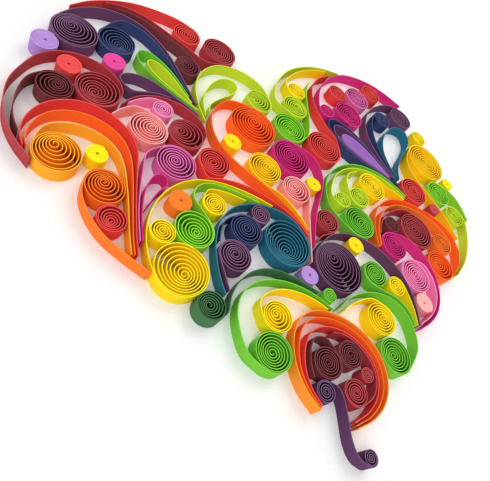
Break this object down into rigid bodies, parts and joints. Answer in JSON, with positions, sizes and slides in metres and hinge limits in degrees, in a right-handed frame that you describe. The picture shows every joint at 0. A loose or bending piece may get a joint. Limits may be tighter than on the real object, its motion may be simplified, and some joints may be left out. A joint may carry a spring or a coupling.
{
  "type": "quilled paper art",
  "caption": "Quilled paper heart of rainbow-coloured strips, curved into commas, arches, drops and rolls, glued on edge to a square white card.",
  "frame": {"origin": "middle of the card's underside", "axes": "+Z out of the card towards the viewer, +Y up the card, +X to its right"},
  "size_m": [0.305, 0.305, 0.007],
  "materials": {
    "card_white": "matte",
    "paper_plum": "matte",
    "paper_red": "matte",
    "paper_maroon": "matte",
    "paper_brown": "matte",
    "paper_navy": "matte",
    "paper_hot_pink": "matte",
    "paper_lavender": "matte",
    "paper_coral": "matte",
    "paper_vermilion": "matte",
    "paper_orange": "matte",
    "paper_amber": "matte",
    "paper_yellow": "matte",
    "paper_gold": "matte",
    "paper_salmon": "matte",
    "paper_pink": "matte",
    "paper_orchid": "matte",
    "paper_magenta": "matte",
    "paper_green": "matte",
    "paper_light_green": "matte",
    "paper_lime": "matte",
    "paper_dark_green": "matte",
    "paper_teal": "matte"
  },
  "bodies": {
    "root": {"card": "card_white", "comma_plum_west": "paper_plum", "comma_red_west": "paper_red", "comma_maroon_west": "paper_maroon", "commas_brown_west": "paper_brown", "comma_navy_west": "paper_navy", "peg_hot_pink": "paper_hot_pink", "pegs_lavender": "paper_lavender", "comma_crimson": "paper_maroon", "peg_coral": "paper_coral", "arch_red_west": "paper_red", "arches_vermilion": "paper_vermilion", "comma_amber": "paper_amber", "coils_yellow": "paper_yellow", "commas_orange": "paper_orange", "coils_red_small": "paper_red", "comma_salmon": "paper_salmon", "commas_pink": "paper_pink", "comma_dark_red_west": "paper_maroon", "commas_orchid": "paper_orchid", "drop_magenta": "paper_magenta", "comma_red_centre": "paper_red", "leaf_plum": "paper_plum", "drop_green": "paper_green", "drops_lime": "paper_lime", "comma_lime_west": "paper_lime", "commas_lime_outer": "paper_lime", "commas_yellow_north": "paper_yellow", "commas_green_north": "paper_light_green", "comma_red_north": "paper_red", "comma_orange_centre": "paper_vermilion", "pegs_gold": "paper_gold", "comma_gold_centre": "paper_gold", "comma_blush": "paper_salmon", "commas_magenta": "paper_magenta", "comma_yellow_south": "paper_yellow", "comma_green_ring": "paper_light_green", "commas_yellow_small": "paper_yellow", "comma_teal": "paper_teal", "comma_navy_centre": "paper_navy", "commas_plum_centre": "paper_plum", "comma_dark_green": "paper_dark_green", "comma_green_south": "paper_green", "commas_green_east": "paper_green", "arch_amber_south": "paper_orange", "arch_red_south": "paper_red", "commas_brown": "paper_brown", "commas_dark_red": "paper_maroon", "scroll_plum": "paper_plum", "commas_yellow_east": "paper_yellow", "comma_purple": "paper_plum", "comma_green_tall": "paper_green", "commas_lime_tall": "paper_lime", "comma_magenta_north": "paper_magenta", "coils_red_north": "paper_red", "commas_plum_north": "paper_plum", "commas_navy_north": "paper_navy", "drop_teal": "paper_teal", "comma_gold_far": "paper_gold", "comma_vermilion_far": "paper_vermilion"}
  },
  "joints": []
}
